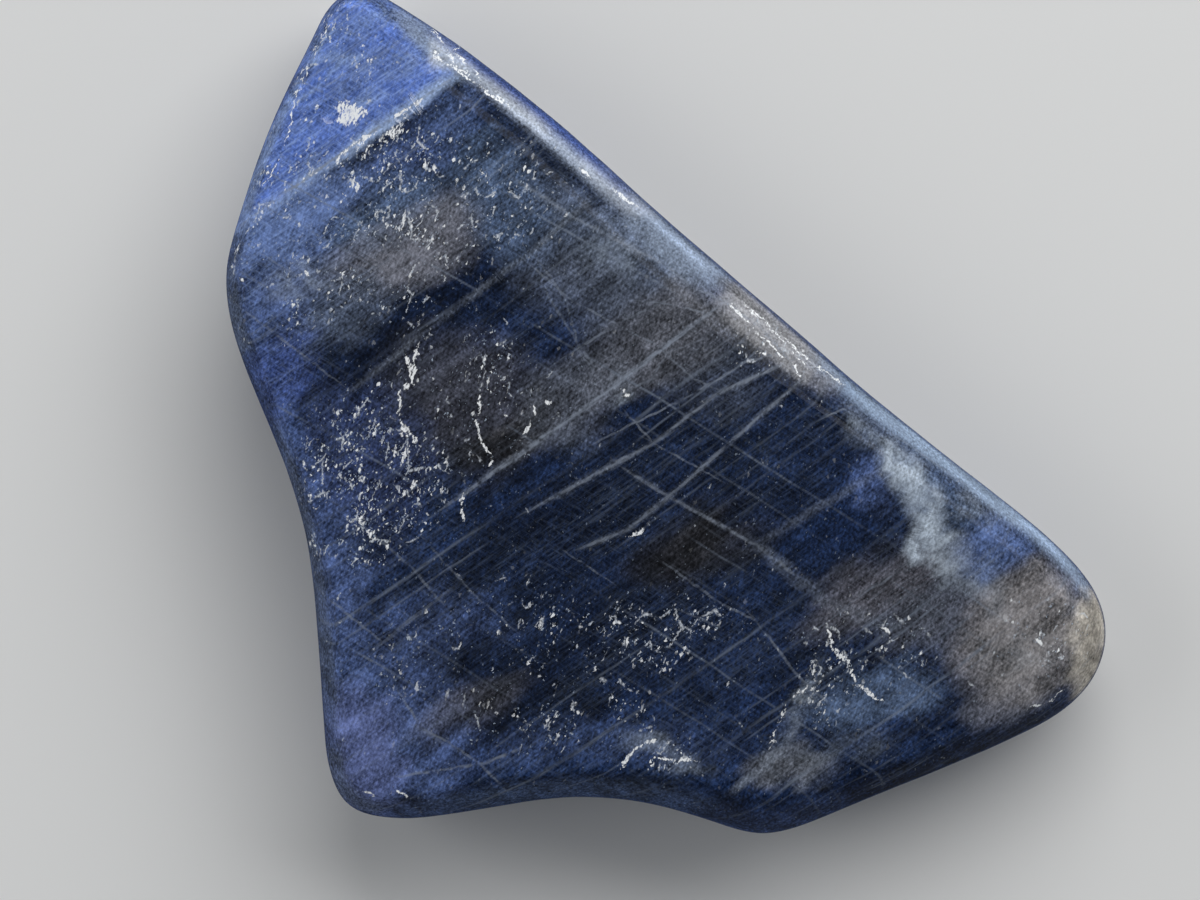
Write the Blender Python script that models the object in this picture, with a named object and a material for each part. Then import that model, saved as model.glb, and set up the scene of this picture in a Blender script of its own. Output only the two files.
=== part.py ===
"""A hand-sized sapphire, cut free-form and polished all over, lying on its flat back.

The stone is one piece. Its front is a shallow dome bounded by a rounded shoulder, its sides bulge to
a rim that is the widest part, and below the rim they tuck in to a flat back that it rests on.
The origin is on the table under the middle of the stone, and X runs along the long straight edge.
"""

import math

import bmesh
import bpy
import numpy as np

MM = 0.001

# The rim seen from above, counter-clockwise from the blunt tip, in millimetres:
# along the long edge, across it, and how wide the polished shoulder is there.
RIM_MM = (
    (39.9, 17.7, 3.2),
    (39.0, 21.1, 3.2),
    (36.7, 23.5, 3.1),
    (32.2, 24.9, 3.0),
    (25.6, 25.1, 3.1),
    (13.0, 24.9, 3.6),
    (1.3, 25.0, 4.3),
    (-10.4, 25.5, 4.1),
    (-20.8, 25.85, 3.8),
    (-29.6, 25.7, 3.6),
    (-36.0, 25.1, 2.7),
    (-39.1, 24.0, 2.0),
    (-39.95, 21.9, 1.7),
    (-39.5, 19.0, 1.7),
    (-38.4, 14.8, 1.6),
    (-36.8, 9.3, 1.6),
    (-34.8, 3.8, 1.6),
    (-33.2, 0.6, 1.7),
    (-30.9, -1.9, 1.8),
    (-26.4, -4.9, 1.7),
    (-20.4, -8.3, 1.7),
    (-14.6, -12.3, 1.8),
    (-9.5, -17.1, 2.0),
    (-4.3, -22.6, 2.1),
    (-1.6, -25.0, 2.1),
    (0.7, -25.85, 2.2),
    (3.8, -24.8, 2.3),
    (8.0, -20.9, 2.5),
    (13.0, -15.4, 2.6),
    (18.5, -11.3, 2.8),
    (23.9, -8.9, 3.2),
    (27.4, -7.1, 3.3),
    (29.8, -3.9, 3.0),
    (31.6, -0.5, 2.6),
    (34.6, 4.9, 2.3),
    (37.9, 11.1, 2.5),
)

MIDDLE_HEIGHT = 16.4 * MM  # the front's highest part above the table
TIP_FALL = 3.8 * MM  # how much lower the front is at the blunt tip
APEX_FALL = 2.6 * MM  # and at the pointed end
SIDE_FALL = 1.7 * MM  # and along the two sides
END_REACH = 38.0 * MM  # from the middle to where the end falls are full
SIDE_REACH = 25.0 * MM
END_POWER = 2.4
SIDE_POWER = 2.2
HOLLOW_AT = (26.5 * MM, -1.0 * MM)  # a thumb-wide hollow that runs out over the lower lobe
HOLLOW_REACH = (7.5 * MM, 4.0 * MM)
HOLLOW_DEPTH = 0.8 * MM
WAVE_HEIGHT = 0.10 * MM  # the slight unevenness of a face polished by hand
WAVE_LENGTH = 27.0 * MM

RIM_SHARE = 0.56  # the rim's height as a share of the shoulder's
BACK_TUCK = 5.2 * MM  # how far the flat back lies inside the rim
SHOULDER_BREAK = 0.24  # how firmly the shoulder breaks away from the front
NORMAL_SPREAD = 3.4 * MM  # over which the inward directions are evened out at the corners
HEART = (3.0 * MM, 5.0 * MM)  # a point that sees the whole rim

STEPS_PER_SPAN = 3
BACK_RINGS = 7
SHOULDER_RINGS = 8
FRONT_RINGS = (0.95, 0.88, 0.79, 0.69, 0.58, 0.47, 0.36, 0.25, 0.15, 0.07)

SAPPHIRE_BLUE = (0.033, 0.052, 0.14, 1.0)
POLISH_ROUGHNESS = 0.12


def closed_spline(values, steps):
    """A smooth closed curve through the rows of values, with that many steps from each row to the next.

    It is the periodic cubic spline on chord length: its slopes at the rows solve one linear system.
    """
    ahead = np.roll(values, -1, axis=0)
    chord = np.linalg.norm((ahead - values)[:, :2], axis=1)
    before = np.roll(chord, 1)
    count = len(values)
    system = np.zeros((count, count))
    rows = np.arange(count)
    system[rows, rows - 1] = chord
    system[rows, rows] = 2 * (chord + before)
    system[rows, (rows + 1) % count] = before
    rise = (ahead - values) / chord[:, None]
    right = 3 * (before[:, None] * rise + chord[:, None] * np.roll(rise, 1, axis=0))
    slope = np.linalg.solve(system, right)
    share = np.arange(steps)[None, :, None] / steps
    start, end = values[:, None], ahead[:, None]
    leave = slope[:, None] * chord[:, None, None]
    arrive = np.roll(slope, -1, axis=0)[:, None] * chord[:, None, None]
    curve = (
        start * (2 * share**3 - 3 * share**2 + 1)
        + leave * (share**3 - 2 * share**2 + share)
        + end * (3 * share**2 - 2 * share**3)
        + arrive * (share**3 - share**2)
    )
    return curve.reshape(-1, values.shape[1])


def inward_directions(rim):
    """Unit vectors square to the rim and pointing in, evened out along it so that corners don't fold."""
    along = np.roll(rim, -1, axis=0) - np.roll(rim, 1, axis=0)
    inward = np.stack([-along[:, 1], along[:, 0]], axis=1)
    inward /= np.linalg.norm(inward, axis=1)[:, None]
    step = np.linalg.norm(np.roll(rim, -1, axis=0) - rim, axis=1)
    place = np.cumsum(step) - step
    apart = np.abs(place[:, None] - place[None, :])
    apart = np.minimum(apart, step.sum() - apart)
    reach = (step + np.roll(step, 1)) / 2
    weight = np.exp(-0.5 * (apart / NORMAL_SPREAD) ** 2) * reach[None, :]
    evened = weight @ inward
    return evened / np.linalg.norm(evened, axis=1)[:, None]


def front_height(x, y):
    """The polished front: a shallow dome that falls towards both ends, one hollow and a slight wave."""
    to_tip = np.clip(x / END_REACH, 0, None) ** END_POWER
    to_apex = np.clip(-x / END_REACH, 0, None) ** END_POWER
    to_side = np.abs(y / SIDE_REACH) ** SIDE_POWER
    hollow = np.exp(
        -(((x - HOLLOW_AT[0]) / HOLLOW_REACH[0]) ** 2)
        - ((y - HOLLOW_AT[1]) / HOLLOW_REACH[1]) ** 2
    )
    turn = 2 * math.pi / WAVE_LENGTH
    wave = np.sin(turn * (x + 0.4 * y)) * np.cos(turn * (0.8 * y - 0.3 * x))
    return (
        MIDDLE_HEIGHT
        - TIP_FALL * to_tip
        - APEX_FALL * to_apex
        - SIDE_FALL * to_side
        - HOLLOW_DEPTH * hollow
        + WAVE_HEIGHT * wave
    )


def shoulder_rise(out):
    """How much of the rise from the rim is left, for out from 0 at the front to 1 at the rim."""
    return (1 - SHOULDER_BREAK) * np.sqrt(np.clip(1 - out**2, 0, None)) + SHOULDER_BREAK * (1 - out)


def stone_rings():
    """The stone's level-by-level rings, from the edge of the flat back up to the middle of the front."""
    traced = np.array(RIM_MM) * MM
    curve = closed_spline(traced, STEPS_PER_SPAN)
    rim, width = curve[:, :2], curve[:, 2]
    rim = rim - (rim.max(axis=0) + rim.min(axis=0)) / 2
    inward = inward_directions(rim)
    crease = rim + inward * width[:, None]
    crease_height = front_height(crease[:, 0], crease[:, 1])
    rim_height = RIM_SHARE * crease_height

    def ring(xy, height):
        return np.column_stack([xy, height])

    rings = []
    for k in range(BACK_RINGS):
        out = math.sin(math.pi / 2 * k / BACK_RINGS)
        tuck = inward * BACK_TUCK * (1 - out)
        rings.append(ring(rim + tuck, rim_height * (1 - math.sqrt(1 - out**2))))
    for k in range(SHOULDER_RINGS, 0, -1):
        out = math.sin(math.pi / 2 * k / SHOULDER_RINGS)
        height = rim_height + (crease_height - rim_height) * shoulder_rise(out)
        rings.append(ring(rim + inward * (width * (1 - out))[:, None], height))
    heart = np.array(HEART)
    for share in (1.0, *FRONT_RINGS):
        xy = heart + (crease - heart) * share
        rings.append(ring(xy, front_height(xy[:, 0], xy[:, 1])))
    return rings


def bridge_rings(bm, rings):
    """Lays each ring as a loop of edges and bridges every neighbouring pair. Returns the end loops."""
    loops = []
    for points in rings:
        verts = [bm.verts.new(point) for point in points]
        loops.append(
            [bm.edges.new((verts[i - 1], verts[i])) for i in range(len(verts))]
        )
    for lower, upper in zip(loops, loops[1:]):
        bmesh.ops.bridge_loops(bm, edges=lower + upper)
    return loops[0], loops[-1]


def polished_sapphire_material():
    material = bpy.data.materials.new("polished_sapphire")
    material.use_nodes = True
    shader = material.node_tree.nodes["Principled BSDF"]
    shader.inputs["Base Color"].default_value = SAPPHIRE_BLUE
    shader.inputs["Roughness"].default_value = POLISH_ROUGHNESS
    shader.inputs["Metallic"].default_value = 0.0
    material.diffuse_color = SAPPHIRE_BLUE
    return material


def make_sapphire():
    """The whole stone: bridged rings, one flat face underneath and a fan at the middle of the front."""
    bm = bmesh.new()
    back_edge, front_middle = bridge_rings(bm, stone_rings())
    bmesh.ops.contextual_create(bm, geom=back_edge)
    top = bmesh.ops.contextual_create(bm, geom=front_middle)["faces"]
    poked = bmesh.ops.poke(bm, faces=top)
    for vert in poked["verts"]:
        vert.co.z = float(front_height(vert.co.x, vert.co.y))
    bmesh.ops.recalc_face_normals(bm, faces=bm.faces)
    mesh = bpy.data.meshes.new("sapphire")
    bm.to_mesh(mesh)
    bm.free()
    mesh.shade_smooth()
    mesh.set_sharp_from_angle(angle=math.radians(40))
    mesh.materials.append(polished_sapphire_material())
    stone = bpy.data.objects.new("sapphire", mesh)
    bpy.context.scene.collection.objects.link(stone)
    return stone


def main():
    for obj in list(bpy.data.objects):
        bpy.data.objects.remove(obj)
    make_sapphire()


main()
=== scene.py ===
# %% [markdown]
# # A polished sapphire
#
# This lesson dresses one stone: a sapphire 8 cm long, cut free-form and polished all over. Such a
# stone is too full of silk, veins and flaws to be cut as a gem, and those are exactly what makes it good
# to look at. The solid gives its size. Here it gets a fine surface with real pits, and a finish of colour
# zones, silk, growth lines, healed cracks and flecks.

# %% The frame
import functools
import math

import bpy
import numpy as np
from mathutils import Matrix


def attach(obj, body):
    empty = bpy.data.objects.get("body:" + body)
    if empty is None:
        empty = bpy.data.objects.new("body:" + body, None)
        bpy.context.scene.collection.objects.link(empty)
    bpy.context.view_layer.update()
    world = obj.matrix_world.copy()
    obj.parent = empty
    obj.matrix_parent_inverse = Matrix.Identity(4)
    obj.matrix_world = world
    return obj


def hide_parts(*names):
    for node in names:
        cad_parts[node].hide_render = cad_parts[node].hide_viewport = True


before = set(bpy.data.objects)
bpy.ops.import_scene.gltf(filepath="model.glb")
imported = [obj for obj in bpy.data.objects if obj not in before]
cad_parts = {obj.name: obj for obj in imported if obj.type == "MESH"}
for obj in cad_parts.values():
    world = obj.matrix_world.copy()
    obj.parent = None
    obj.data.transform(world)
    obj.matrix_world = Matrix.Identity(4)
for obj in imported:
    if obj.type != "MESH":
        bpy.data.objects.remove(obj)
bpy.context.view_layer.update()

MM = 0.001

# %% [markdown]
# ## The outline
#
# Seen from above, the stone has one long straight edge, a pointed end, a blunt tip and a lobe between
# them. Thirty-six points hold that outline, and a smooth closed curve runs through them. The same points
# made the solid, so the fine surface falls on it. The third number is how wide the polished shoulder is.

# %% The rim, counter-clockwise from the blunt tip, in millimetres
RIM_MM = (
    (39.9, 17.7, 3.2),
    (39.0, 21.1, 3.2),
    (36.7, 23.5, 3.1),
    (32.2, 24.9, 3.0),
    (25.6, 25.1, 3.1),
    (13.0, 24.9, 3.6),
    (1.3, 25.0, 4.3),
    (-10.4, 25.5, 4.1),
    (-20.8, 25.85, 3.8),
    (-29.6, 25.7, 3.6),
    (-36.0, 25.1, 2.7),
    (-39.1, 24.0, 2.0),
    (-39.95, 21.9, 1.7),
    (-39.5, 19.0, 1.7),
    (-38.4, 14.8, 1.6),
    (-36.8, 9.3, 1.6),
    (-34.8, 3.8, 1.6),
    (-33.2, 0.6, 1.7),
    (-30.9, -1.9, 1.8),
    (-26.4, -4.9, 1.7),
    (-20.4, -8.3, 1.7),
    (-14.6, -12.3, 1.8),
    (-9.5, -17.1, 2.0),
    (-4.3, -22.6, 2.1),
    (-1.6, -25.0, 2.1),
    (0.7, -25.85, 2.2),
    (3.8, -24.8, 2.3),
    (8.0, -20.9, 2.5),
    (13.0, -15.4, 2.6),
    (18.5, -11.3, 2.8),
    (23.9, -8.9, 3.2),
    (27.4, -7.1, 3.3),
    (29.8, -3.9, 3.0),
    (31.6, -0.5, 2.6),
    (34.6, 4.9, 2.3),
    (37.9, 11.1, 2.5),
)
STEPS_PER_SPAN = 20


def closed_spline(values, steps):
    """A smooth closed curve through the rows of values, with that many steps from each row to the next.

    It is the periodic cubic spline on chord length: its slopes at the rows solve one linear system.
    """
    ahead = np.roll(values, -1, axis=0)
    chord = np.linalg.norm((ahead - values)[:, :2], axis=1)
    before = np.roll(chord, 1)
    count = len(values)
    system = np.zeros((count, count))
    rows = np.arange(count)
    system[rows, rows - 1] = chord
    system[rows, rows] = 2 * (chord + before)
    system[rows, (rows + 1) % count] = before
    rise = (ahead - values) / chord[:, None]
    right = 3 * (before[:, None] * rise + chord[:, None] * np.roll(rise, 1, axis=0))
    slope = np.linalg.solve(system, right)
    share = np.arange(steps)[None, :, None] / steps
    start, end = values[:, None], ahead[:, None]
    leave = slope[:, None] * chord[:, None, None]
    arrive = np.roll(slope, -1, axis=0)[:, None] * chord[:, None, None]
    curve = (
        start * (2 * share**3 - 3 * share**2 + 1)
        + leave * (share**3 - 2 * share**2 + share)
        + end * (3 * share**2 - 2 * share**3)
        + arrive * (share**3 - share**2)
    )
    return curve.reshape(-1, values.shape[1])


outline = closed_spline(np.array(RIM_MM) * MM, STEPS_PER_SPAN)
rim_xy = outline[:, :2] - (outline[:, :2].max(axis=0) + outline[:, :2].min(axis=0)) / 2
print("outline points:", len(rim_xy))

# %% [markdown]
# ## Stations round the stone
#
# Every ring of the surface has the same stations, evenly spaced along the rim. At each one an inward
# direction says which way the shoulder runs. The directions are evened out along the rim, because at a
# tight corner true perpendiculars would cross each other and fold the surface.

# %% Evenly spaced stations with their inward directions
GRID = 224  # squares across the front
STATIONS = 4 * GRID
NORMAL_SPREAD = 3.4 * MM
HEART = np.array((3.0, 5.0)) * MM  # a point that sees the whole rim


def inward_directions(rim):
    """Unit vectors square to the rim and pointing in, averaged with a bell-shaped weight along the rim."""
    along = np.roll(rim, -1, axis=0) - np.roll(rim, 1, axis=0)
    inward = np.stack([-along[:, 1], along[:, 0]], axis=1)
    inward /= np.linalg.norm(inward, axis=1)[:, None]
    step = np.linalg.norm(np.roll(rim, -1, axis=0) - rim, axis=1)
    place = np.cumsum(step) - step
    apart = np.abs(place[:, None] - place[None, :])
    apart = np.minimum(apart, step.sum() - apart)
    reach = (step + np.roll(step, 1)) / 2
    weight = np.exp(-0.5 * (apart / NORMAL_SPREAD) ** 2) * reach[None, :]
    evened = weight @ inward
    return evened / np.linalg.norm(evened, axis=1)[:, None]


def spaced_evenly(rim, columns, count):
    """The columns read off at count places, equally far apart along the closed rim."""
    step = np.linalg.norm(np.roll(rim, -1, axis=0) - rim, axis=1)
    place = np.concatenate([[0.0], np.cumsum(step)])
    closed = np.vstack([columns, columns[:1]])
    wanted = np.arange(count) / count * place[-1]
    return np.stack([np.interp(wanted, place, column) for column in closed.T], axis=1)


dense = np.column_stack([rim_xy, inward_directions(rim_xy), outline[:, 2]])
stations = spaced_evenly(rim_xy, dense, STATIONS)
rim, inward, shoulder_width = stations[:, :2], stations[:, 2:4], stations[:, 4:5]
inward = inward / np.linalg.norm(inward, axis=1)[:, None]
print("stations:", STATIONS, "spaced in mm:", round(float(np.linalg.norm(rim[1] - rim[0])) / MM, 2))

# %% [markdown]
# ## The front, the shoulder and the back
#
# The front is a shallow dome, lower towards both ends and sides, with one shallow hollow. A rounded
# shoulder leads down to the rim, the widest part, and below the rim the sides tuck in to a flat back.
# Both are formulas of the place, so the same lines can shape a coarse solid or this fine skin.

# %% The shape as formulas
MIDDLE_HEIGHT = 16.4 * MM
TIP_FALL = 3.8 * MM
APEX_FALL = 2.6 * MM
SIDE_FALL = 1.7 * MM
END_REACH = 38.0 * MM
SIDE_REACH = 25.0 * MM
END_POWER = 2.4
SIDE_POWER = 2.2
HOLLOW_AT = (26.5 * MM, -1.0 * MM)
HOLLOW_REACH = (7.5 * MM, 4.0 * MM)
HOLLOW_DEPTH = 0.8 * MM
WAVE_HEIGHT = 0.10 * MM
WAVE_LENGTH = 27.0 * MM
RIM_SHARE = 0.56  # the rim's height as a share of the shoulder's
BACK_TUCK = 5.2 * MM
SHOULDER_BREAK = 0.24


def front_height(x, y):
    """Height of the front: the middle's, less a power of the way to each end and side, less a
    bell-shaped hollow, with a slight wave left by the polishing."""
    to_tip = np.clip(x / END_REACH, 0, None) ** END_POWER
    to_apex = np.clip(-x / END_REACH, 0, None) ** END_POWER
    to_side = np.abs(y / SIDE_REACH) ** SIDE_POWER
    along, across = (x - HOLLOW_AT[0]) / HOLLOW_REACH[0], (y - HOLLOW_AT[1]) / HOLLOW_REACH[1]
    hollow = np.exp(-(along**2) - across**2)
    turn = 2 * math.pi / WAVE_LENGTH
    wave = np.sin(turn * (x + 0.4 * y)) * np.cos(turn * (0.8 * y - 0.3 * x))
    falls = TIP_FALL * to_tip + APEX_FALL * to_apex + SIDE_FALL * to_side + HOLLOW_DEPTH * hollow
    return MIDDLE_HEIGHT - falls + WAVE_HEIGHT * wave


def shoulder_rise(out):
    """Share of the rise from the rim that is left: a quarter circle, with a part that falls straight."""
    return (1 - SHOULDER_BREAK) * np.sqrt(np.clip(1 - out**2, 0, None)) + SHOULDER_BREAK * (1 - out)


crease = rim + inward * shoulder_width
crease_height = front_height(crease[:, 0], crease[:, 1])[:, None]
rim_height = RIM_SHARE * crease_height
rim_range = (rim_height.min(), rim_height.max())
print("rim height in mm:", [round(float(height) / MM, 1) for height in rim_range])

# %% [markdown]
# ## One skin from three patches
#
# A round patch made of rings has needle-thin triangles in the middle. A square grid bent to the outline
# has none: each point of the square lies on a smaller square round the centre, and that square becomes
# a smaller copy of the outline. The front's border is the first ring of the sides, and the back closes
# with rings that shrink to a fan. Each point also keeps `out`, its way from the front (below 0) over
# the shoulder (0 to 1) and down the side (1 to 2) to the back (2 to 3), for the finish to read.

# %% The points of the skin
SHOULDER_RINGS = 14
SIDE_RINGS = 12
BACK_RINGS = 24


def square_patch():
    """A grid over the square from -1 to 1: each point's distance is its larger coordinate, and its
    bearing is its place on the square's border, counted as station numbers."""
    ticks = np.linspace(-1, 1, GRID + 1)
    a, b = np.meshgrid(ticks, ticks)
    far = np.maximum(np.abs(a), np.abs(b))
    safe = np.where(far > 0, far, 1)
    eighth = STATIONS / 8
    right, top = b / safe * eighth, 2 * eighth - a / safe * eighth
    left, bottom = 4 * eighth - b / safe * eighth, 6 * eighth + a / safe * eighth
    upright = np.abs(a) >= np.abs(b)
    bearing = np.where(upright, np.where(a > 0, right, left), np.where(b > 0, top, bottom))
    return far, bearing % STATIONS


def at_bearing(rows, bearing):
    """Rows of a closed ring read between stations."""
    low = np.floor(bearing).astype(int) % STATIONS
    part = (bearing - np.floor(bearing))[..., None]
    return rows[low] * (1 - part) + rows[(low + 1) % STATIONS] * part


def at_heights(xy, z):
    """Plan points of several rings joined to their heights."""
    return np.concatenate([xy, np.broadcast_to(z, xy.shape[:2] + (1,))], axis=2)


far, bearing = square_patch()
front_xy = HEART + (at_bearing(crease, bearing) - HEART) * far[..., None]
front = np.dstack([front_xy, front_height(front_xy[..., 0], front_xy[..., 1])]).reshape(-1, 3)

over = np.sin(math.pi / 2 * np.arange(1, SHOULDER_RINGS + 1) / SHOULDER_RINGS)[:, None, None]
shoulder_xy = rim + inward * shoulder_width * (1 - over)
shoulder_z = rim_height + (crease_height - rim_height) * shoulder_rise(over)
under = np.sin(math.pi / 2 * np.arange(SIDE_RINGS - 1, -1, -1) / SIDE_RINGS)[:, None, None]
side_xy = rim + inward * BACK_TUCK * (1 - under)
side_z = rim_height * (1 - np.sqrt(1 - under**2))
shrink = 1 - np.arange(1, BACK_RINGS)[:, None, None] / BACK_RINGS
back_xy = HEART + (rim + inward * BACK_TUCK - HEART) * shrink
rings = np.concatenate([
    at_heights(shoulder_xy, shoulder_z),
    at_heights(side_xy, side_z),
    at_heights(back_xy, 0.0),
])
ring_out = np.concatenate([over.ravel(), 2 - under.ravel(), 3 - shrink.ravel()])
skin_points = np.vstack([front, rings.reshape(-1, 3), [[*HEART, 0.0]]])
skin_out = np.concatenate([(far - 1).ravel(), np.repeat(ring_out, STATIONS), [3.0]])
print("skin points:", len(skin_points))

# %% [markdown]
# The faces follow from the numbering alone. Each square of a grid is four neighbouring numbers, listed
# counter-clockwise as seen from outside, which is what makes every face point outwards.

# %% The faces of the skin
def grid_faces(numbers):
    """Four corners for each square between neighbouring rows and columns of point numbers."""
    corners = (numbers[:-1, :-1], numbers[:-1, 1:], numbers[1:, 1:], numbers[1:, :-1])
    return np.stack([corner.ravel() for corner in corners], axis=1)


front_numbers = np.arange(len(front)).reshape(GRID + 1, GRID + 1)
border = np.concatenate([
    front_numbers[GRID // 2:-1, -1],
    front_numbers[-1, :0:-1],
    front_numbers[:0:-1, 0],
    front_numbers[0, :-1],
    front_numbers[:GRID // 2, -1],
])
ring_numbers = len(front) + np.arange(len(rings) * STATIONS).reshape(len(rings), STATIONS)
wall = np.vstack([border, ring_numbers])
wall = np.hstack([wall, wall[:, :1]])
quads = np.vstack([grid_faces(front_numbers), grid_faces(wall.T)])
middle = np.full(STATIONS, len(skin_points) - 1)
fan = np.stack([wall[-1, 1:], wall[-1, :-1], middle], axis=1)
mesh = bpy.data.meshes.new("sapphire_stone")
mesh.from_pydata(skin_points, [], quads.tolist() + fan.tolist())
mesh.shade_smooth()
print("triangles:", 2 * len(quads) + len(fan))

# %% [markdown]
# ## Where things are on the front
#
# The marks on the front were placed on the photograph, so their places are its pixels,
# 1200 across and 900 down. A few numbers turn a pixel into millimetres on the stone: the scale at the
# rim, and how much nearer than the rim the front lies to the lens. The sheet on which the marks are laid
# out is turned with the view, so that right and up on it are right and up in the picture.

# %% From picture to stone
PIXELS_PER_MM = 12.8  # at the height of the rim
PICTURE_MIDDLE = (600, 450)
PICTURE_WIDTH = 1200
VIEW_AT = (-1.47, 8.04)  # where the picture's middle falls on the stone, in mm
VIEW_TURN = math.radians(39.3)
CAMERA_HEIGHT = 400.0
RIM_LEVEL = 8.0
FRONT_LEVEL = 15.5
NEARER = (CAMERA_HEIGHT - FRONT_LEVEL) / (CAMERA_HEIGHT - RIM_LEVEL)


def on_sheet(pixel):
    """A pixel as millimetres right of and above the picture's middle, at the height of the front."""
    right = (pixel[0] - PICTURE_MIDDLE[0]) / PIXELS_PER_MM * NEARER
    up = (PICTURE_MIDDLE[1] - pixel[1]) / PIXELS_PER_MM * NEARER
    return right, up


def pixels(count):
    """A length of so many pixels in millimetres at the front."""
    return count / PIXELS_PER_MM * NEARER


print("one pixel is", round(pixels(1), 4), "mm")

# %% [markdown]
# ## Pits and chips
#
# Polishing opens small cavities where the stone is flawed, and they never quite close. They are real
# hollows, so they are in the mesh: each flaw is a chain of little bowls with a random wander. The white
# of their broken walls is finer than the mesh, so the finish draws that. Each flaw is a width in pixels,
# a depth in mm and the points that it runs through.

# %% The open flaws
FLAWS = (
    (9, 0.16, ((404, 353), (414, 379), (401, 394), (399, 417), (412, 437), (417, 445))),
    (6, 0.12, ((481, 391), (478, 417), (481, 442), (493, 458), (488, 468))),
    (6, 0.10, ((419, 343), (414, 366), (414, 384))),
    (11, 0.15, ((356, 511), (366, 526), (374, 539))),
    (8, 0.10, ((414, 480), (412, 492))),
    (7, 0.08, ((463, 493), (460, 506), (466, 524))),
    (12, 0.20, ((816, 658), (811, 684), (788, 704), (778, 724), (768, 753))),
    (7, 0.10, ((826, 625), (834, 648), (852, 666), (857, 686), (883, 701))),
    (6, 0.08, ((881, 624), (891, 636), (889, 646))),
    (8, 0.12, ((1041, 639), (1048, 648))),
    (6, 0.10, ((617, 770), (643, 742), (658, 740))),
    (6, 0.08, ((653, 758), (676, 758), (699, 763))),
    (18, 0.12, ((338, 112), (350, 113), (360, 105))),
    (7, 0.12, ((333, 163), (352, 145), (376, 131))),
    (8, 0.14, ((392, 118), (412, 104), (424, 97))),
    (7, 0.08, ((536, 402), (534, 418), (526, 437))),
    (6, 0.08, ((548, 398), (551, 405))),
    (12, 0.06, ((620, 390), (634, 400))),
    (6, 0.06, ((628, 537), (645, 527))),
    (6, 0.08, ((392, 786), (410, 799))),
    (6, 0.06, ((361, 791), (376, 799))),
    (9, 0.10, ((430, 47), (444, 60), (470, 72))),
    (7, 0.10, ((241, 276), (242, 282))),
    (7, 0.08, ((305, 272), (309, 277))),
    # These two on the long edge are real pits, and their white is also a painted highlight, a glint.
    (8, 0.10, ((578, 166), (590, 176))),
    (8, 0.10, ((612, 187), (640, 206))),
    (5, 0.10, ((730, 301), (748, 320))),
    (6, 0.08, ((796, 371), (806, 377))),
)
BOWL_GAP = 0.55  # from one bowl to the next, as a share of the flaw's width
BOWL_WANDER = 0.22  # in the same shares
BOWL_RADIUS = (0.35, 0.8)
BOWL_DEPTH = (0.4, 1.0)  # shares of the flaw's depth
CHIP_SEED = 7


def chain_of_bowls(flaw, random):
    """Bowls along a flaw: evenly spaced on its line, then moved by a random part of its width.
    Each row is the place across and up the sheet, the radius and the depth, in mm."""
    width, depth, points = flaw
    line = np.array([on_sheet(point) for point in points])
    leg = np.linalg.norm(np.diff(line, axis=0), axis=1)
    place = np.concatenate([[0.0], np.cumsum(leg)])
    count = max(2, int(place[-1] / (pixels(width) * BOWL_GAP)))
    wanted = np.linspace(0, place[-1], count)
    spots = np.stack([np.interp(wanted, place, line[:, axis]) for axis in (0, 1)], axis=1)
    spots += random.normal(0, BOWL_WANDER * pixels(width), spots.shape)
    radius = pixels(width) * random.uniform(*BOWL_RADIUS, count)
    return np.column_stack([spots, radius, depth * random.uniform(*BOWL_DEPTH, count)])


random = np.random.default_rng(CHIP_SEED)
bowls = np.vstack([chain_of_bowls(flaw, random) for flaw in FLAWS])
print("bowls:", len(bowls))

# %% [markdown]
# Sums of sine waves in scattered directions make the skin uneven the way a lapped stone is: too slight
# to see as shape, yet enough to bend a reflection. The bowls are cut on top. Everything moves inwards
# along the skin's own direction, so the stone never grows past its solid.

# %% The skin is lapped and pitted
LAP_SEED = 3
LAP_WAVES = 14
LAP_SPREAD = (0.7, 1.5)  # the waves' lengths, as shares of the one asked for
LAP_PEAK = 0.35  # the average of so many waves seldom goes further from 0
LAPS = ((0.05, 9.0), (0.02, 3.2))  # depth and length in mm
SIDE_LAP = (0.22, 15.0)
SIDE_FULL = 0.6  # values of `out`, as are the next five
SIDE_ENDS = 2.2
SIDE_FADE = 0.5
BACK_BEGINS = 2.0
BACK_FADE = 0.3
PITS_END = 0.95


def ripple(points, wavelength, random):
    """Waves between 0 and 1: the average of sines with random directions, phases and nearby lengths."""
    way = random.normal(size=(LAP_WAVES, 3))
    way /= np.linalg.norm(way, axis=1)[:, None]
    turns = 2 * math.pi / (wavelength * random.uniform(*LAP_SPREAD, LAP_WAVES))
    phase = random.uniform(0, 2 * math.pi, LAP_WAVES)
    waves = np.sin(points @ (way * turns[:, None]).T + phase)
    return 0.5 + 0.5 * waves.mean(axis=1) / LAP_PEAK


def sheet_places(points):
    """Places on the sheet: turned back by the view's turn round the place that it looks at, in mm."""
    shifted = points[:, :2] / MM - np.array(VIEW_AT)
    cosine, sine = math.cos(VIEW_TURN), math.sin(VIEW_TURN)
    return np.column_stack([shifted @ (cosine, sine), shifted @ (-sine, cosine)])


def bowl_depths(points, bowls):
    """The deepest bowl at each point: depth times the square of one less the squared distance."""
    places = sheet_places(points)
    deepest = np.zeros(len(points))
    for across, up, radius, depth in bowls:
        apart = ((places[:, 0] - across) ** 2 + (places[:, 1] - up) ** 2) / radius**2
        deepest = np.maximum(deepest, depth * np.clip(1 - apart, 0, None) ** 2)
    return deepest


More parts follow.
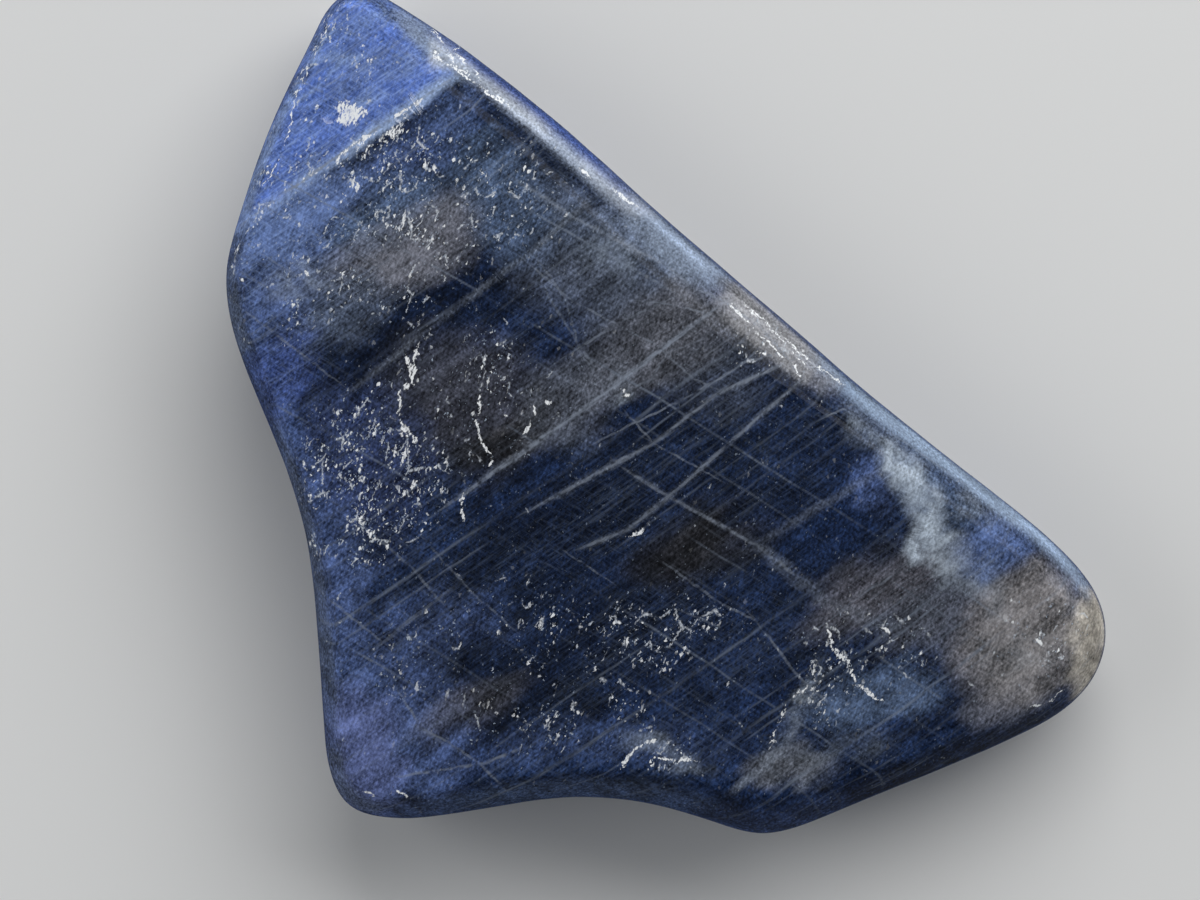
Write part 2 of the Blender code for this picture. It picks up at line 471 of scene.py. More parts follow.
random = np.random.default_rng(LAP_SEED)
normals = np.empty(len(skin_points) * 3, dtype=np.float32)
mesh.vertex_normals.foreach_get("vector", normals)
normals = normals.reshape(-1, 3)
lap = sum(depth * ripple(skin_points, length * MM, random) for depth, length in LAPS)
on_side = np.clip(skin_out / SIDE_FULL, 0, 1) * np.clip((SIDE_ENDS - skin_out) / SIDE_FADE, 0, 1)
lap += SIDE_LAP[0] * ripple(skin_points, SIDE_LAP[1] * MM, random) * on_side
lap *= np.clip((BACK_BEGINS - skin_out) / BACK_FADE, 0, 1)
above = skin_out < PITS_END
pit = np.zeros(len(skin_points))
pit[above] = bowl_depths(skin_points[above], bowls)
skin_points = skin_points - normals * ((lap + pit) * MM)[:, None]
mesh.vertices.foreach_set("co", skin_points.astype(np.float32).ravel())
mesh.update()
print("deepest pit, mm:", round(float(pit.max()), 2), "points in pits:", int((pit > 0).sum()))

# %% [markdown]
# ## Painting on the points
#
# The colour of a sapphire sits in the crystal, in zones and bands far wider than the quarter of a
# millimetre between the mesh's points. So the wide marks are worked out here for every point at once,
# and the mesh carries them as named values that the finish reads. `cloud_at` is noise of a given size,
# `ellipse_at` a soft patch, and everything can be turned, because everything in a crystal has a
# direction: its silk is three families of needles, and its bands and healed cracks follow them.

# %% Clouds and patches on the points
SILK_TURN = math.radians(34.5)  # the family that most lines follow
CROSS_TURN = math.radians(-31.0)
THIRD_TURN = math.radians(68.0)
LATTICE = 4096
HASH = np.array((73856093, 19349663, 83492791))


def cloud_at(places, reach, turn=0.0, seed=0, octaves=4):
    """A cloud between 0 and 1: random numbers at the corners of stretched cells, eased from corner to
    corner, and the same again with half the cell and half the weight, octave by octave."""
    cosine, sine = math.cos(turn), math.sin(turn)
    across, up, level = places.T
    cells = np.column_stack([across * cosine + up * sine, up * cosine - across * sine, level]) / reach
    random = np.random.default_rng(seed)
    chance = random.random(LATTICE)
    total = np.zeros(len(places))
    for octave in range(octaves):
        place = cells * 2**octave + random.uniform(0, LATTICE, 3)
        corner = np.floor(place).astype(np.int64)
        ease = (place - corner) ** 2 * (3 - 2 * (place - corner))
        for step in np.ndindex(2, 2, 2):
            keys = (corner + step) * HASH
            key = (keys[:, 0] ^ keys[:, 1] ^ keys[:, 2]) % LATTICE
            total += chance[key] * np.where(step, ease, 1 - ease).prod(axis=1) / 2**octave
    return total / (2 - 2 / 2**octaves)


def bent_at(places, reach, shift, turn=0.0, seed=0, octaves=3):
    """The places moved about on the sheet by two clouds, by up to half the shift either way."""
    moves = [cloud_at(places, reach, turn, seed + axis, octaves) - 0.5 for axis in (100, 200)]
    return places + np.column_stack([*moves, np.zeros(len(places))]) * shift


def soft_at(values, low, high, to=1.0):
    """Rises smoothly from 0 to `to` as the values go from low to high. Low may be the larger."""
    share = np.clip((values - low) / (high - low), 0, 1)
    return to * share**2 * (3 - 2 * share)


def ellipse_at(places, pixel, size, turn=0.0):
    """1 in the middle of a patch, less by the squared distance in its own half sizes, never below 0."""
    right, up = (places[:, :2] - on_sheet(pixel)).T
    cosine, sine = math.cos(turn), math.sin(turn)
    along = (right * cosine + up * sine) / pixels(size[0])
    aside = (up * cosine - right * sine) / pixels(size[1])
    return np.clip(1 - along**2 - aside**2, 0, None)


def laid(under, over, mask):
    """A colour over another, as much as the mask says."""
    return under + (np.array(over) - under) * mask[:, None]


LEG_OVERLAP = 0.78  # half a leg's length, and a little of the next


def legs(line, width, strength):
    """A thin patch for each leg of a line of pixels: its middle, half sizes, turn and strength."""
    for start, end in zip(line, line[1:]):
        middle = ((start[0] + end[0]) / 2, (start[1] + end[1]) / 2)
        length = math.hypot(end[0] - start[0], end[1] - start[1])
        turn = math.atan2(start[1] - end[1], end[0] - start[0])
        yield middle, (length * LEG_OVERLAP, width / 2), turn, strength


def all_legs(rows):
    """The legs of many lines. Each row is a width in pixels, a strength and the line's points."""
    return [leg for width, strength, line in rows for leg in legs(line, width, strength)]


def strongest_at(places, marks):
    """The strongest of many patches at each place. A mark is a pixel, half sizes, a turn and a strength."""
    best = np.zeros(len(places))
    for pixel, size, turn, strength in marks:
        best = np.maximum(best, strength * ellipse_at(places, pixel, size, turn))
    return best


places = np.column_stack([sheet_places(skin_points), skin_points[:, 2] / MM])
on_front = soft_at(skin_out, 1.2, 0.5)
print("points to paint:", len(places))

# %% [markdown]
# ## The ground colours
#
# Titanium and iron colour a sapphire, and they were never evenly spread while it grew. This one is royal
# blue at its pointed end, nearly black with a smoky brown cast in the middle, navy below and grey at the
# blunt tip. The zones are soft patches: a colour, the pixel of the middle, half sizes in pixels, a turn
# in degrees and a strength. A cloud stretched along the silk bends their borders, so they fray in the
# direction in which the crystal grew.

# %% The zones of colour
NIGHT = (0.0050, 0.0105, 0.030)
NAVY = (0.0090, 0.0190, 0.055)
ROYAL = (0.085, 0.152, 0.455)
COBALT = (0.120, 0.185, 0.40)
IRIS = (0.150, 0.185, 0.40)
DENIM = (0.070, 0.108, 0.25)
MIDNIGHT = (0.040, 0.066, 0.200)
DUSK = (0.028, 0.042, 0.108)
STEEL = (0.070, 0.105, 0.185)
SMOKE = (0.205, 0.210, 0.245)
UMBER = (0.047, 0.047, 0.054)
PEAT = (0.016, 0.015, 0.014)
SLATE = (0.072, 0.092, 0.140)
TAUPE = (0.118, 0.112, 0.120)
HAZE = (0.105, 0.115, 0.140)
SEPIA = (0.076, 0.080, 0.096)
FOG = (0.064, 0.076, 0.106)
ASH = (0.270, 0.255, 0.255)
CREAM = (0.39, 0.36, 0.315)
MILK = (0.50, 0.58, 0.68)
FROST = (0.90, 0.92, 0.94)

ZONES = (
    (FOG, (640, 300), (190, 90), -38, 0.9),
    (SLATE, (610, 235), (130, 42), -38, 0.9),
    (STEEL, (500, 190), (100, 60), -40, 0.8),
    (DENIM, (275, 285), (80, 110), -8, 0.8),
    (COBALT, (300, 216), (84, 48), 33, 0.9),
    (MIDNIGHT, (285, 385), (50, 80), -25, 0.85),
    (DENIM, (395, 165), (70, 40), 33, 0.6),
    (STEEL, (385, 215), (80, 40), 33, 0.8),
    (COBALT, (450, 118), (50, 28), 36, 0.5),
    (SMOKE, (402, 256), (110, 50), 28, 0.62),
    (SLATE, (350, 318), (64, 44), 20, 0.75),
    (SEPIA, (670, 338), (125, 62), 35, 0.9),
    (UMBER, (455, 400), (105, 90), 35, 0.75),
    (PEAT, (500, 450), (90, 40), 35, 0.85),
    (NIGHT, (640, 450), (110, 50), 35, 0.5),
    (HAZE, (566, 408), (76, 60), 35, 0.65),
    (PEAT, (700, 540), (95, 55), 20, 0.8),
    (DUSK, (370, 470), (80, 110), 10, 0.9),
    (DENIM, (300, 480), (34, 100), 10, 0.6),
    (DENIM, (335, 590), (50, 120), 5, 0.8),
    (NIGHT, (560, 512), (150, 45), 25, 0.9),
    (NAVY, (800, 430), (80, 60), 30, 0.95),
    (NIGHT, (770, 500), (70, 30), 30, 0.8),
    (TAUPE, (880, 582), (120, 52), 24, 0.5),
    (SEPIA, (930, 622), (80, 44), 24, 0.75),
    (COBALT, (1000, 550), (60, 50), 10, 0.75),
    (STEEL, (930, 478), (90, 44), -42, 0.6),
    (DENIM, (866, 480), (34, 34), -40, 0.7),
    (SMOKE, (1020, 700), (60, 30), 20, 0.6),
    (HAZE, (795, 770), (60, 26), 0, 0.95),
    (DENIM, (600, 750), (170, 34), 4, 0.22),
    (DENIM, (385, 735), (110, 120), 10, 0.85),
    (IRIS, (355, 750), (60, 90), 10, 0.6),
    (DENIM, (430, 620), (110, 50), 20, 0.4),
    (UMBER, (465, 705), (80, 40), 20, 0.7),
    (STEEL, (880, 702), (96, 38), 14, 0.95),
    (ASH, (1045, 632), (105, 74), 30, 0.95),
    (UMBER, (1008, 640), (46, 24), 30, 0.4),
    (UMBER, (1064, 664), (44, 22), 34, 0.5),
    (UMBER, (1052, 612), (40, 18), 30, 0.3),
    (FOG, (1076, 590), (30, 16), -40, 0.4),
    # Cream at the very tip is painted glow: light through the thin edge, as on the shoulders.
    (CREAM, (1100, 640), (26, 60), -12, 0.8),
    (COBALT, (284, 206), (66, 26), 36, 0.9),
)
NAVY_CLOUD = (16.0, 6.0, 9.0)  # mm, as is every reach of a cloud
drift = bent_at(places, (15.0, 6.0, 9.0), 3.4, SILK_TURN, seed=1)
drift = bent_at(drift, (3.2, 1.2, 2.0), 2.6, SILK_TURN, seed=2)
navy_share = soft_at(cloud_at(drift, NAVY_CLOUD, SILK_TURN, seed=3), 0.4, 0.62)
ground = laid(np.array(NIGHT), NAVY, navy_share)
for colour, pixel, size, turn, strength in ZONES:
    patch = ellipse_at(drift, pixel, size, math.radians(turn))
    ground = laid(ground, colour, soft_at(patch, 0, 1, strength))
print("zones:", len(ZONES))

# %% [markdown]
# The pointed end is a zone with a straight border: above one bright healed crack the stone is royal
# blue, and right below it is nearly black. A border like that is a slope across the sheet.

# %% The royal end
BORDER_AT = (348, 148)
BORDER_TURN = math.radians(36.5)
BORDER_FADE = (-0.5, 0.4)  # mm above it, from where the royal blue begins to where it is full
PALE_ROYAL = (0.17, 0.245, 0.46)
ROYAL_CLOUD = (3.2, 1.2, 2.6)
bowed = bent_at(places, (9.0, 3.0, 6.0), 0.5, seed=4)
above_border = (bowed[:, :2] - on_sheet(BORDER_AT)) @ (-math.sin(BORDER_TURN), math.cos(BORDER_TURN))
royal_cloud = soft_at(cloud_at(drift, ROYAL_CLOUD, SILK_TURN, seed=5), 0.4, 0.75)
royal = laid(np.array(ROYAL), PALE_ROYAL, royal_cloud)
in_royal = soft_at(above_border, *BORDER_FADE)
ground = laid(ground, royal, in_royal)
print("the royal end begins above pixel", BORDER_AT)

# %% [markdown]
# ## Bands and milk
#
# Dark and light bands run through every zone along the silk, and fainter ones across it. In places fine
# bubbles turn the stone milky: a cloud that hangs below the long edge near the blunt tip, and veils. The
# rows are those of the zones, with the strength first and the colour left out.

# %% Bands and milky veils
VEILS = (
    (0.4, (870, 430), (50, 24), -40),
    (0.75, (902, 468), (54, 26), -48),
    (1.0, (930, 516), (32, 50), 14),
    (0.8, (952, 560), (26, 40), 8),
    (0.5, (1000, 500), (70, 30), -38),
    (0.4, (985, 590), (50, 30), -20),
    (0.35, (300, 285), (50, 34), 10),
    (0.35, (628, 398), (20, 22), 20),
    (0.15, (575, 450), (30, 34), 60),
    (0.3, (610, 262), (40, 24), -38),
    (0.35, (800, 705), (20, 76), -28),
    (0.25, (850, 755), (60, 22), 14),
    (0.35, (662, 756), (60, 16), -14),
    (0.2, (1030, 650), (60, 40), 20),
)
BAND_CONTRAST = 2.2  # doublings from the darkest band to the lightest
CROSS_CONTRAST = 1.0
MOTTLE_CONTRAST = 1.2
SIDE_BANDS = 0.9  # the bands are that strong on the sides and the back
CALM = 0.6  # the palest zones are that much more even
CALM_FROM = (0.15, 0.25)  # lightness
WISP_TURN = math.radians(-50)
band_places = bent_at(places, (6.0, 2.0, 4.0), 0.9, SILK_TURN, seed=6)
bands = cloud_at(band_places, (9.0, 1.0, 4.0), SILK_TURN, seed=7, octaves=2)
crosses = cloud_at(places, (7.0, 1.2, 4.0), CROSS_TURN, seed=8, octaves=2)
mottle = cloud_at(places, (1.3, 0.8, 1.0), THIRD_TURN, seed=9, octaves=1)
doublings = BAND_CONTRAST * (bands - 0.5)
doublings += CROSS_CONTRAST * (crosses - 0.5)
doublings += MOTTLE_CONTRAST * (mottle - 0.5)
calm = 1 - CALM * soft_at(ground.mean(axis=1), *CALM_FROM)
ground *= 2 ** (doublings * calm * np.maximum(on_front, SIDE_BANDS))[:, None]
veil_marks = [(pixel, size, math.radians(turn), strength) for strength, pixel, size, turn in VEILS]
wisps = soft_at(cloud_at(drift, (2.4, 0.9, 2.4), WISP_TURN, seed=40, octaves=5), 0.30, 0.70)
veil = soft_at(strongest_at(drift, veil_marks), 0, 1) * on_front
ground = laid(ground, MILK, np.clip(veil * (0.35 + wisps * 0.7), 0, 1))
print("veils:", len(VEILS))

# %% [markdown]
# ## Wide veins and the healed crack at the royal border
#
# The larger healed cracks can be told apart, so each is drawn where it is: a width in pixels, a strength
# and the points that it runs through. The bold cracks have two widths and strengths, as the finish draws
# a thin line over their wide glow. The border of the royal end is the boldest line on the stone, a crack
# that healed with pale blue crystal and crumbs of white below it. One bold line is no crack but a painted
# highlight: the window's reflection along the crease of the long shoulder, drawn in the same way.

# %% Wide veins
# A painted highlight: the window's reflection along the crease of the long shoulder, drawn as a pale line.
CREASE_HIGHLIGHT = (
    (520, 182), (579, 220), (607, 235), (663, 263),
    (694, 286), (730, 304), (765, 330), (801, 375),
)
BOLD_CRACKS_AND_HIGHLIGHT = (
    ((8, 0.35), (5, 0.8), ((709, 313), (585, 408), (455, 500))),
    ((7, 0.3), (4.5, 0.6), ((783, 364), (717, 394), (653, 443), (541, 504))),
    ((7, 0.3), (4.5, 0.5), ((796, 384), (724, 448), (678, 489), (627, 530), (584, 547))),
    ((7, 0.2), (4.5, 0.45), ((628, 471), (668, 496), (758, 546), (801, 580))),
    # The painted crease highlight, drawn like a bold crack.
    ((9, 0.3), (3.6, 0.5), CREASE_HIGHLIGHT),
)
WIDE_VEINS = (
    (20, 0.25, ((757, 545), (830, 605), (893, 628))),
    (12, 0.22, ((893, 463), (764, 540))),
    (8, 0.35, ((583, 205), (526, 256), (430, 328), (358, 386))),
    (12, 0.5, ((800, 722), (785, 748), (762, 770), (732, 792))),
)
VEIN = (0.235, 0.270, 0.335)
BORDERS = (
    (18, 1.0, ((330, 162), (456, 72))),
    (17, 0.5, ((238, 226), (345, 151))),
)
PALE_BLUE = (0.36, 0.48, 0.74)
wavy = bent_at(places, (1.6, 0.9, 2.0), 0.35, SILK_TURN, seed=30)
# The wide glow of each bold line; along the crease this is painted highlight.
glows = [(*glow, line) for glow, _, line in BOLD_CRACKS_AND_HIGHLIGHT]
vein_marks = all_legs([*WIDE_VEINS, *glows])
ragged = soft_at(cloud_at(places, (1.5, 0.5, 1.5), SILK_TURN, seed=31), 0.2, 0.62)
ground = laid(ground, VEIN, strongest_at(wavy, vein_marks) * (0.3 + ragged * 0.7) * on_front)
border_glow = strongest_at(wavy, all_legs(BORDERS)) * (0.5 + ragged * 0.5) * on_front
ground = laid(ground, PALE_BLUE, border_glow)
print("wide veins:", len(WIDE_VEINS) + len(BOLD_CRACKS_AND_HIGHLIGHT))

# %% [markdown]
# ## The shoulder
#
# Along the edges the stone looks paler, and this is painted light: the reflection of the window in the long
# shoulder and the glow of light that enters through the thin edges are painted into the colour, as a lilac
# blue band on the long shoulder, beige where it is cracked, cream at the blunt tip. The dark patches on the
# lower shoulder are painted as well, a dark reflection on the side turned from the window. The outermost
# strip is dark again. The last number of a patch says how far out over the shoulder it begins.

# %% Shoulders
LILAC = (0.26, 0.32, 0.43)
ICE = (0.56, 0.61, 0.70)
PALE_STEEL = (0.27, 0.35, 0.48)
DEEP_BLUE = (0.045, 0.080, 0.26)
RIM_BLUE = (0.030, 0.050, 0.125)
BEIGE = (0.32, 0.32, 0.33)
# Painted light on the shoulders: pale reflection and glow towards the window, dark reflection on the lower
# edge.
SHOULDERS = (
    (LILAC, (680, 240), (80, 60), -40, 1.0, 0.15),
    (LILAC, (560, 140), (120, 50), -42, 0.8, 0.3),
    (ICE, (500, 100), (90, 40), -42, 1.0, 0.38),
    (ICE, (605, 185), (70, 30), -42, 0.7, 0.38),
    (LILAC, (440, 50), (80, 30), -40, 0.8, 0.2),
    (ICE, (458, 56), (40, 26), -40, 0.8, 0.0),
    (PALE_STEEL, (930, 440), (170, 60), -40, 1.0, 0.45),
    (PALE_STEEL, (1040, 540), (90, 50), -45, 0.8, 0.45),
    (BEIGE, (775, 338), (90, 50), -42, 0.8, 0.1),
    (CREAM, (1098, 640), (34, 80), -10, 1.0, 0.1),
    (PALE_ROYAL, (285, 130), (30, 130), -22, 0.8, 0.1),
    (SLATE, (236, 330), (24, 90), -5, 0.7, 0.1),
    (SLATE, (310, 560), (40, 200), 6, 0.6, 0.1),
    (SLATE, (345, 780), (50, 40), 0, 0.6, 0.1),
    (STEEL, (560, 800), (200, 30), 0, 0.3, 0.1),
    (NIGHT, (915, 784), (125, 40), 22, 1.0, -0.1),
    (NIGHT, (1010, 748), (100, 34), 24, 1.0, 0.1),
    (DEEP_BLUE, (530, 115), (170, 60), -42, 1.0, 0.6),
)
LONG_EDGE_TURN = math.radians(-41.0)
STREAK_CONTRAST = 1.8  # doublings
STREAK = (6.0, 0.6, 1.6)
PATCH_FADE = 0.3  # over which a patch sets in, in values of `out`
streak_places = bent_at(places, (2.0, 1.0, 1.0), 0.6, seed=71)
streaks = cloud_at(streak_places, STREAK, LONG_EDGE_TURN, seed=72, octaves=1)
above_rim = soft_at(skin_out, 1.5, 1.05)
shoulder = laid(ground, RIM_BLUE, soft_at(skin_out, 0.2, 0.6, 0.5))
for colour, pixel, size, turn, strength, inner in SHOULDERS:
    patch = soft_at(ellipse_at(drift, pixel, size, math.radians(turn)), 0, 0.85, strength)
    shoulder = laid(shoulder, colour, patch * soft_at(skin_out, inner, inner + PATCH_FADE) * above_rim)
shoulder *= 2 ** (STREAK_CONTRAST * (streaks - 0.5))[:, None]
ground = laid(ground, shoulder, soft_at(skin_out, 0.0, 0.1))
ground = laid(ground, RIM_BLUE, soft_at(skin_out, 0.88, 0.98, 0.9) * above_rim)
print("shoulder patches:", len(SHOULDERS))

# %% [markdown]
# ## What the finish reads
#
# White flecks swarm in clusters, and crumbs of white lie along the royal border, along the edge beside
# it and in one star. How crowded the flecks are and how white the crumbs are is kept as numbers. Silk
# stands out most on dark ground, which `contrast` tells. `sway` is a slow wander that keeps the fine
# lines from being ruled. The bands where growth lines show are slow clouds as well.

# %% The values on the mesh
SILK = (0.17, 0.21, 0.27)
ROYAL_COVER = 1.5
LEFT_SILK_AT = (280, 265)
LEFT_SILK_SIZE = (120, 150)
LEFT_SHARE = 0.6
SWARMS = (
    (1.3, (375, 470), (85, 95)),
    (1.6, (345, 520), (70, 60)),
    (0.9, (385, 250), (90, 90)),
    (1.1, (390, 165), (95, 55)),
    (0.7, (470, 200), (110, 80)),
    (0.85, (655, 645), (110, 62)),
    (0.7, (520, 615), (70, 45)),
    (0.55, (525, 745), (40, 30)),
    (0.8, (285, 270), (80, 90)),
    (0.5, (560, 700), (160, 60)),
    (0.5, (860, 650), (90, 60)),
    (0.4, (420, 660), (90, 70)),
    (1.0, (668, 753), (46, 20)),
    (0.8, (820, 690), (36, 50)),
    (0.55, (1045, 640), (70, 50)),
    (0.5, (780, 345), (70, 40)),
    (0.7, (330, 60), (80, 80)),
    (0.65, (275, 180), (60, 90)),
    (0.5, (480, 400), (90, 90)),
)
CRUMBS = (
    (30, 1.0, ((320, 182), (440, 98))),
    (30, 1.0, ((290, 96), (306, 56), (330, 4))),
)
CRUMBS_STRENGTH = 0.85
STAR = ((350, 113), (24, 18), 0.3, 1.15)
swarm_marks = [(pixel, size, 0.0, strength) for strength, pixel, size in SWARMS]
gathered = soft_at(cloud_at(places, (2.2, 2.2, 2.2), seed=50), 0.3, 0.65)
crowd = strongest_at(places, swarm_marks) * gathered
star = strongest_at(bent_at(places, (1.4, 1.0, 1.2), 1.1, seed=60, octaves=2), [STAR])
crumb_places = bent_at(places, (1.2, 0.8, 1.0), 1.0, seed=61, octaves=2)
near_crumbs = strongest_at(crumb_places, all_legs(CRUMBS))
crumbly = soft_at(cloud_at(places, (0.55, 0.5, 0.6), THIRD_TURN, seed=62), 0.40, 0.55, CRUMBS_STRENGTH)
crumbs = np.maximum(star, near_crumbs * crumbly)
line_fade = soft_at(cloud_at(drift, (8.0, 4.0, 6.0), SILK_TURN, seed=21), 0.38, 0.62)
cross_fade = soft_at(cloud_at(drift, (6.0, 5.0, 6.0), CROSS_TURN, seed=22), 0.42, 0.66)
silk_cover = soft_at(cloud_at(drift, (9.0, 5.0, 6.0), SILK_TURN, seed=23), 0.25, 0.75)
sway = bent_at(places, (6.0, 6.0, 6.0), 0.6, seed=24) - places
left_silk = soft_at(ellipse_at(drift, LEFT_SILK_AT, LEFT_SILK_SIZE), 0, 0.7)
pale_silk = np.maximum(in_royal, left_silk * LEFT_SHARE)
silk_cover = silk_cover + pale_silk * ROYAL_COVER
silk_tint = laid(np.array(SILK), PALE_BLUE, pale_silk)
values = {
    "out": skin_out,
    "contrast": soft_at(ground.mean(axis=1), 0.28, 0.04),
    "pit": pit,
    "crowd": crowd * on_front,
    "crumbs": crumbs * on_front,
    "line_fade": line_fade * on_front,
    "cross_fade": cross_fade * on_front,
    "silk_cover": silk_cover,
}


def carry(name, kind, field, numbers):
    """Keeps one number, vector or colour for every point on the mesh, under a name."""
    attribute = mesh.attributes.new(name, kind, "POINT")
    attribute.data.foreach_set(field, numbers.astype(np.float32).ravel())


for name, numbers in values.items():
    carry(name, "FLOAT", "value", numbers)
carry("sway", "FLOAT_VECTOR", "vector", sway)
for name, colours in (("ground", ground), ("silk_tint", silk_tint)):
    carry(name, "FLOAT_COLOR", "color", np.column_stack([colours, np.ones(len(colours))]))
print("values on the mesh:", sorted(values), "and ground, silk_tint, sway")

# %% The stone rides on the solid's body
stone = bpy.data.objects.new("sapphire_stone", mesh)
bpy.context.scene.collection.objects.link(stone)
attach(stone, "root")
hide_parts("sapphire")

# %% [markdown]
# ## Writing a finish as arithmetic
#
# A finish is a chain of small sums, and a sum is easier to read as an expression than as boxes and
# wires. This class wraps one socket. Plus, minus and times on it add Math nodes, and `node` adds any
# other kind: its settings first, then what its sockets are fed with.

# %% A wire of the finish
class Wire:
    """One output of a material's nodes, with arithmetic on it."""

    def __init__(self, socket):
        self.socket = socket

    def node(self, kind, settings, inputs, output=0):
        """Adds a node to the same material, sets it up, feeds its sockets and returns one output."""
        tree = self.socket.id_data
        new = tree.nodes.new(kind)
        for name, value in settings.items():
            setattr(new, name, value)
        sockets = {socket.identifier: socket for socket in new.inputs}
        for name, value in inputs.items():
            if isinstance(value, Wire):
                tree.links.new(value.socket, sockets[name])
            else:
                sockets[name].default_value = value
        outputs = {socket.identifier: socket for socket in new.outputs}
        return Wire(outputs[output] if isinstance(output, str) else new.outputs[output])

    def also(self, output):
        """Another output of the node that this one comes from."""
        return Wire(next(socket for socket in self.socket.node.outputs if socket.identifier == output))

    def math(self, operation, first, second):
        """One sum on two numbers or wires."""
        return self.node("ShaderNodeMath", {"operation": operation}, {"Value": first, "Value_001": second})

    def __add__(self, other):
        return self.math("ADD", self, other)

    __radd__ = __add__

    def __sub__(self, other):
        return self.math("SUBTRACT", self, other)

    def __rsub__(self, other):
        return self.math("SUBTRACT", other, self)

    def __mul__(self, other):
        return self.math("MULTIPLY", self, other)

    def most(self, other):
        """The larger of the two."""
        return self.math("MAXIMUM", self, other)

    def vector(self, operation, **inputs):
        """One vector operation, whose further sockets are named by the caller."""
        output = "Value" if operation == "DOT_PRODUCT" else "Vector"
        inputs = {"Vector": self, **inputs}
        return self.node("ShaderNodeVectorMath", {"operation": operation}, inputs, output)

    def soft(self, low, high, to=1.0):
        """Rises smoothly from 0 to `to` as the value goes from low to high. Low may be the larger."""
        inputs = {"Value": self, "From Min": low, "From Max": high, "To Min": 0.0, "To Max": to}
        return self.node("ShaderNodeMapRange", {"interpolation_type": "SMOOTHSTEP"}, inputs)


material = bpy.data.materials.new("polished_sapphire")
material.use_nodes = True
mesh.materials.append(material)
shader = material.node_tree.nodes["Principled BSDF"]
body = Wire(material.node_tree.nodes.new("ShaderNodeTexCoord").outputs["Object"])
sheet = body.node(
    "ShaderNodeMapping",
    {"vector_type": "TEXTURE"},
    {
        "Vector": body,
        "Location": (VIEW_AT[0] * MM, VIEW_AT[1] * MM, 0.0),
        "Rotation": (0.0, 0.0, VIEW_TURN),
        "Scale": (MM, MM, MM),
    },
)


def carried(name, output="Fac"):
    """A value that the mesh carries."""
    return body.node("ShaderNodeAttribute", {"attribute_name": name}, {}, output)


tone = carried("ground", "Color")
swayed = sheet.vector("ADD", Vector_001=carried("sway", "Vector"))
print("the sheet is in mm, with its third number the height above the table")

# %% [markdown]
# ## The few tools that every mark is made with
#
# Fine marks are worked out by the finish itself: `cloud` is noise of a given size in mm, `bent` a place
# moved about by it, and `lay` puts a colour over another.

# %% Cloud, bend and lay
SEED_STEP = 37.0  # shifts each cloud to a place of its own


def turned(place, centre, turn, reach):
    """The place seen from a centre, turned into a direction, and measured in the given reaches."""
    inputs = {"Vector": place, "Location": centre, "Rotation": (0.0, 0.0, turn), "Scale": reach}
    return place.node("ShaderNodeMapping", {"vector_type": "TEXTURE"}, inputs)


def cloud(place, reach, turn=0.0, seed=0, detail=2.0, rough=0.5, output="Fac"):
    """Noise whose features are as long, wide and deep as the reach says, in mm."""
    centre = (seed * SEED_STEP, seed * -SEED_STEP, seed * SEED_STEP / 2)
    inputs = {"Vector": turned(place, centre, turn, reach), "Scale": 1.0}
    return place.node("ShaderNodeTexNoise", {}, inputs | {"Detail": detail, "Roughness": rough}, output)


def bent(place, reach, shift, turn=0.0, seed=0, detail=2.0):
    """The place moved about by a cloud, by up to half the shift either way."""
    field = cloud(place, reach, turn, seed, detail, output="Color")
    moved = field.vector("SUBTRACT", Vector_001=(0.5, 0.5, 0.5)).vector("SCALE", Scale=shift)
    return place.vector("ADD", Vector_001=moved)


def lay(under, over, mask):
    """A colour over another, as much as the mask says."""
    colours = [(*colour, 1.0) if isinstance(colour, tuple) else colour for colour in (under, over)]
    inputs = {"Factor_Float": mask, "A_Color": colours[0], "B_Color": colours[1]}
    return mask.node("ShaderNodeMix", {"data_type": "RGBA"}, inputs, "Result_Color")


print("silk runs at", round(math.degrees(SILK_TURN)), "degrees to the picture's width")

# %% [markdown]
# ## Silk
#
# Silk is rutile: needles too fine to see singly, lying in three directions in every layer of the crystal.
# Together they scatter light like brushed cloth. Each family is a cloud drawn out into fibres. Where
# fibres are dense the ground is lighter, where they are thin it is darker, so they multiply it.

# %% Three families of needles
SILK_SHARES = (0.7, 0.5, 0.7, 1.0)  # of the three families and of the grain
MIDDLE = 0.5  # what a cloud is on average
CONTRAST = (2.2, 2.4)  # the power everywhere, and what the darkest ground adds
GRAIN = (0.26, 0.20, 0.3)  # mm


def needles(turn, seed, length, width):
    """Fibres along a direction: a cloud one or two mm long and a fraction of one wide."""
    return cloud(sheet, (length, width, 0.4), turn, seed, detail=3.0, rough=0.65)


front = carried("out").soft(1.2, 0.5)
cover = carried("silk_cover")
main_silk = needles(SILK_TURN, 10, 1.9, 0.20)
cross_silk = needles(CROSS_TURN, 11, 1.6, 0.20)
third_silk = needles(THIRD_TURN, 12, 0.8, 0.16)
grain = cloud(sheet, GRAIN, THIRD_TURN, seed=13, detail=1.0)
fibres = sum(layer * share for layer, share in zip((main_silk, cross_silk, third_silk, grain), SILK_SHARES))
even = fibres * (1 / MIDDLE / sum(SILK_SHARES))
texture = even.math("POWER", even, carried("contrast") * CONTRAST[1] + CONTRAST[0])
tone = tone.vector("SCALE", Scale=texture)
haze = main_silk.soft(0.42, 0.8) * (0.02 + cover * 0.2)
haze = haze.most(cross_silk.soft(0.45, 0.8) * (0.02 + cover * 0.16))
tone = lay(tone, carried("silk_tint", "Color"), haze * front)
print("silk laid in three directions")

# %% [markdown]
# ## Growth lines
#
# Fine straight lines cross the dark middle like a woven check: thin sheets of silk where growth paused.
# Across each family's direction, cells of random width give one line each, of constant thickness and
# random strength, and a slow cloud lets each line fade in and out along its length.

